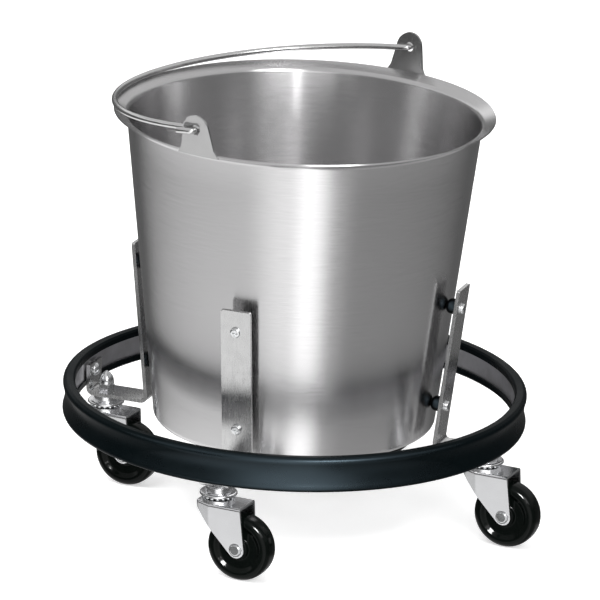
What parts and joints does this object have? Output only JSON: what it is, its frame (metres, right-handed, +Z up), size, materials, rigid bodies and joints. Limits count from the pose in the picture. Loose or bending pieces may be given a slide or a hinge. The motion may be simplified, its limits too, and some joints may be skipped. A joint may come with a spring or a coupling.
{
  "type": "wheeled pail",
  "caption": "Tapered stainless pail with a swinging wire bail, carried by rubber buttons in a wheeled ring frame with a black rubber bumper.",
  "frame": {"origin": "centre of the pail's flat underside, pail seated in the frame", "axes": "+Z up; +X, +Y, -X and -Y each point at one bracket of the frame, -Y is the front and the folded bail lies towards -X"},
  "size_m": [0.409, 0.383, 0.3761],
  "materials": {
    "brushed_stainless": "satin, grain running round the pail",
    "satin_steel": "satin",
    "bright_wire": "bright drawn wire",
    "plated_steel": "bright zinc plate",
    "black_rubber": "semi-gloss moulded rubber",
    "black_wheel": "gloss black"
  },
  "bodies": {
    "frame": {"ring_band": "satin_steel", "bumper_channel": "black_rubber", "bracket_front": "satin_steel", "bracket_right": "satin_steel", "bracket_rear": "satin_steel", "bracket_left": "satin_steel", "tab_rivets": "plated_steel", "button_screws": "plated_steel", "rubber_buttons": "black_rubber", "stem_cap_nuts": "plated_steel", "front_caster_stem": "plated_steel", "front_caster_cup": "plated_steel", "right_caster_stem": "plated_steel", "right_caster_cup": "plated_steel", "rear_caster_stem": "plated_steel", "rear_caster_cup": "plated_steel", "left_caster_stem": "plated_steel", "left_caster_cup": "plated_steel"},
    "pail": {"pail_shell": "brushed_stainless", "ear_front": "brushed_stainless", "ear_rear": "brushed_stainless"},
    "bail": {"bail_handle": "bright_wire"},
    "front_fork": {"front_caster_fork": "plated_steel", "front_caster_balls": "plated_steel", "front_caster_axle": "plated_steel", "front_caster_axle_nut": "plated_steel", "front_caster_bush": "plated_steel"},
    "front_wheel": {"front_caster_wheel": "black_wheel"},
    "right_fork": {"right_caster_fork": "plated_steel", "right_caster_balls": "plated_steel", "right_caster_axle": "plated_steel", "right_caster_axle_nut": "plated_steel", "right_caster_bush": "plated_steel"},
    "right_wheel": {"right_caster_wheel": "black_wheel"},
    "rear_fork": {"rear_caster_fork": "plated_steel", "rear_caster_balls": "plated_steel", "rear_caster_axle": "plated_steel", "rear_caster_axle_nut": "plated_steel", "rear_caster_bush": "plated_steel"},
    "rear_wheel": {"rear_caster_wheel": "black_wheel"},
    "left_fork": {"left_caster_fork": "plated_steel", "left_caster_balls": "plated_steel", "left_caster_axle": "plated_steel", "left_caster_axle_nut": "plated_steel", "left_caster_bush": "plated_steel"},
    "left_wheel": {"left_caster_wheel": "black_wheel"}
  },
  "joints": [
    {"name": "pail_lift", "type": "slide", "parent": "frame", "child": "pail", "axis": [0, 0, 1], "range_m": [0, 0.32]},
    {"name": "bail_swing", "type": "hinge", "parent": "pail", "child": "bail", "pos_m": [0, 0, 0.2827], "axis": [0.2079, 0.9781, 0], "range_deg": [0, 192]},
    {"name": "front_swivel", "type": "hinge", "parent": "frame", "child": "front_fork", "pos_m": [0, -0.168, -0.018], "axis": [0, 0, 1], "continuous": true},
    {"name": "front_roll", "type": "hinge", "parent": "front_fork", "child": "front_wheel", "pos_m": [0.02194, -0.16965, -0.0538], "axis": [0.075, 0.9972, 0], "continuous": true},
    {"name": "right_swivel", "type": "hinge", "parent": "frame", "child": "right_fork", "pos_m": [0.168, 0, -0.018], "axis": [0, 0, 1], "continuous": true},
    {"name": "right_roll", "type": "hinge", "parent": "right_fork", "child": "right_wheel", "pos_m": [0.18994, -0.00165, -0.0538], "axis": [0.075, 0.9972, 0], "continuous": true},
    {"name": "rear_swivel", "type": "hinge", "parent": "frame", "child": "rear_fork", "pos_m": [0, 0.168, -0.018], "axis": [0, 0, 1], "continuous": true},
    {"name": "rear_roll", "type": "hinge", "parent": "rear_fork", "child": "rear_wheel", "pos_m": [0.02194, 0.16635, -0.0538], "axis": [0.075, 0.9972, 0], "continuous": true},
    {"name": "left_swivel", "type": "hinge", "parent": "frame", "child": "left_fork", "pos_m": [-0.168, 0, -0.018], "axis": [0, 0, 1], "continuous": true},
    {"name": "left_roll", "type": "hinge", "parent": "left_fork", "child": "left_wheel", "pos_m": [-0.14606, -0.00165, -0.0538], "axis": [0.075, 0.9972, 0], "continuous": true}
  ]
}
